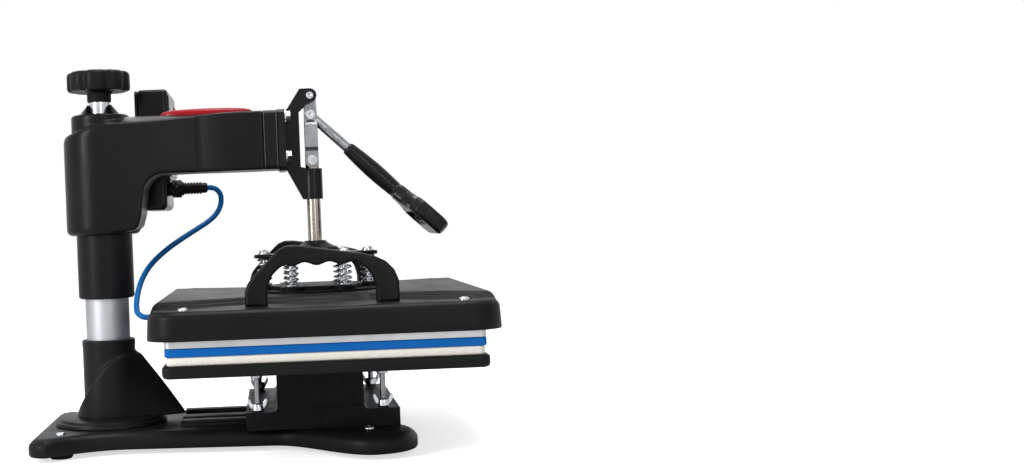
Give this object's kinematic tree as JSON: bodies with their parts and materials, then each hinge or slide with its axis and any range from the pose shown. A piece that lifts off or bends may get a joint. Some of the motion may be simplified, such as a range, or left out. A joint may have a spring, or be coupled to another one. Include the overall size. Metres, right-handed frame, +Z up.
{
  "type": "combo heat press",
  "caption": "Swing-arm heat press: a lever toggle lowers a covered heated plate on a ram onto padded tray layers, with a round column, lobed base and side control box.",
  "frame": {"origin": "on the floor under the middle of the machine's outline", "axes": "+Z up, front and lever handle towards -Y, control box on the +X side"},
  "size_m": [0.396, 0.473, 0.404],
  "materials": {
    "cast_black": "satin black paint on cast alloy",
    "steel_black": "satin black paint on steel",
    "cast_grey": "charcoal paint on cast alloy",
    "cover_paint": "satin charcoal moulding",
    "chrome": "polished",
    "steel": "satin",
    "plate": "machined",
    "tray": "satin black paint",
    "foam": "matt sponge",
    "silicone": "smooth silicone",
    "rubber": "matt",
    "black_plastic": "satin",
    "gloss_plastic": "gloss",
    "red_plastic": "gloss",
    "lamp": "gloss",
    "display": "gloss",
    "lead": "satin",
    "brass": "machined",
    "board": "matt",
    "insulation": "matt fibre board"
  },
  "bodies": {
    "base": {"base_plate": "cast_black", "rubber_feet": "rubber", "foot_screws": "steel", "column_socket": "cast_black", "column_tube": "chrome", "tube_nut": "brass", "tray_pedestal": "cast_black", "lower_tray": "tray", "foam_pad": "foam", "silicone_pad": "silicone", "tray_studs": "steel"},
    "carriage": {"column_sleeve": "cast_grey"},
    "arm": {"arm_casting": "cast_grey", "arm_inlay": "red_plastic", "arm_end_block": "cast_black", "toggle_bracket": "steel_black", "bracket_bolts": "steel", "lever_pivot_pin": "steel", "screw_boss": "cast_grey", "box_bracket": "steel_black", "box_shell": "gloss_plastic", "box_back": "black_plastic", "circuit_board": "board", "control_panel": "gloss_plastic", "display_windows": "display", "indicator_lamps": "lamp", "mains_inlet": "black_plastic", "switch_bezel": "black_plastic", "cable_socket": "black_plastic", "cable_plug": "black_plastic", "heater_cable": "lead"},
    "knob": {"height_knob": "black_plastic", "height_screw": "steel"},
    "lever": {"lever_bar": "steel", "lever_handle": "black_plastic", "link_pin": "steel"},
    "link": {"toggle_link": "steel", "link_bolt_heads": "steel"},
    "ram": {"press_ram": "steel", "upper_spring_plate": "steel_black"},
    "platen": {"heat_cover": "cover_paint", "heat_plate": "plate", "insulation_board": "insulation", "cover_ring": "steel_black", "lower_spring_plate": "steel_black", "spring_bolts": "steel", "pressure_springs": "steel", "left_grip": "black_plastic", "right_grip": "black_plastic", "cover_screws": "steel", "cable_gland": "black_plastic"},
    "rocker": {"power_rocker": "red_plastic"},
    "plus_key": {"button_plus": "red_plastic"},
    "minus_key": {"button_minus": "red_plastic"},
    "mode_key": {"button_mode": "red_plastic"},
    "heat_key": {"button_heat": "red_plastic"},
    "nut_front_left": {"wing_nut_1": "steel"},
    "nut_front_right": {"wing_nut_2": "steel"},
    "nut_back_left": {"wing_nut_3": "steel"},
    "nut_back_right": {"wing_nut_4": "steel"}
  },
  "joints": [
    {"name": "column_slide", "type": "slide", "parent": "base", "child": "carriage", "axis": [0, 0, 1], "range_m": [0, 0.02]},
    {"name": "arm_swing", "type": "hinge", "parent": "carriage", "child": "arm", "pos_m": [0, 0.1615, 0.25], "axis": [0, 0, 1], "range_deg": [-180, 180]},
    {"name": "knob_turn", "type": "hinge", "parent": "arm", "child": "knob", "pos_m": [0, 0.1615, 0.392], "axis": [0, 0, 1], "range_deg": [0, 2880]},
    {"name": "ram_lift", "type": "slide", "parent": "arm", "child": "ram", "axis": [0, 0, 1], "range_m": [0, 0.042], "deforming": ["heater_cable"]},
    {"name": "lever_pivot", "type": "hinge", "parent": "arm", "child": "lever", "pos_m": [0, -0.0665, 0.369], "axis": [-1, 0, 0], "range_deg": [0, 185]},
    {"name": "link_pivot", "type": "hinge", "parent": "lever", "child": "link", "pos_m": [0, -0.0665, 0.348], "axis": [1, 0, 0], "range_deg": [0, 185]},
    {"name": "platen_float", "type": "slide", "parent": "ram", "child": "platen", "axis": [0, 0, 1], "range_m": [0, 0.003], "deforming": ["pressure_springs", "heater_cable"]},
    {"name": "rocker_tilt", "type": "hinge", "parent": "arm", "child": "rocker", "pos_m": [0.1515, 0.1085, 0.296], "axis": [0, -1, 0], "range_deg": [0, 16]},
    {"name": "plus_press", "type": "slide", "parent": "arm", "child": "plus_key", "axis": [0, 1, 0], "range_m": [0, 0.0012], "stiffness_N_per_m": 300},
    {"name": "minus_press", "type": "slide", "parent": "arm", "child": "minus_key", "axis": [0, 1, 0], "range_m": [0, 0.0012], "stiffness_N_per_m": 300},
    {"name": "mode_press", "type": "slide", "parent": "arm", "child": "mode_key", "axis": [0, 1, 0], "range_m": [0, 0.0012], "stiffness_N_per_m": 300},
    {"name": "heat_press", "type": "slide", "parent": "arm", "child": "heat_key", "axis": [0, 1, 0], "range_m": [0, 0.0012], "stiffness_N_per_m": 300},
    {"name": "nut_front_left_turn", "type": "hinge", "parent": "base", "child": "nut_front_left", "pos_m": [-0.088, -0.1265, 0.046], "axis": [0, 0, 1], "range_deg": [-180, 180]},
    {"name": "nut_back_left_turn", "type": "hinge", "parent": "base", "child": "nut_back_left", "pos_m": [-0.088, 0.0015, 0.046], "axis": [0, 0, 1], "range_deg": [-180, 180]},
    {"name": "nut_front_right_turn", "type": "hinge", "parent": "base", "child": "nut_front_right", "pos_m": [0.088, -0.1265, 0.046], "axis": [0, 0, 1], "range_deg": [-180, 180]},
    {"name": "nut_back_right_turn", "type": "hinge", "parent": "base", "child": "nut_back_right", "pos_m": [0.088, 0.0015, 0.046], "axis": [0, 0, 1], "range_deg": [-180, 180]}
  ],
  "couplings": [
    {"joint": "knob_turn", "follows": "column_slide", "rad_per_m": 2513.2},
    {"joint": "lever_pivot", "follows": "ram_lift", "rad_per_m": 76.87},
    {"joint": "link_pivot", "follows": "ram_lift", "rad_per_m": 76.87}
  ]
}
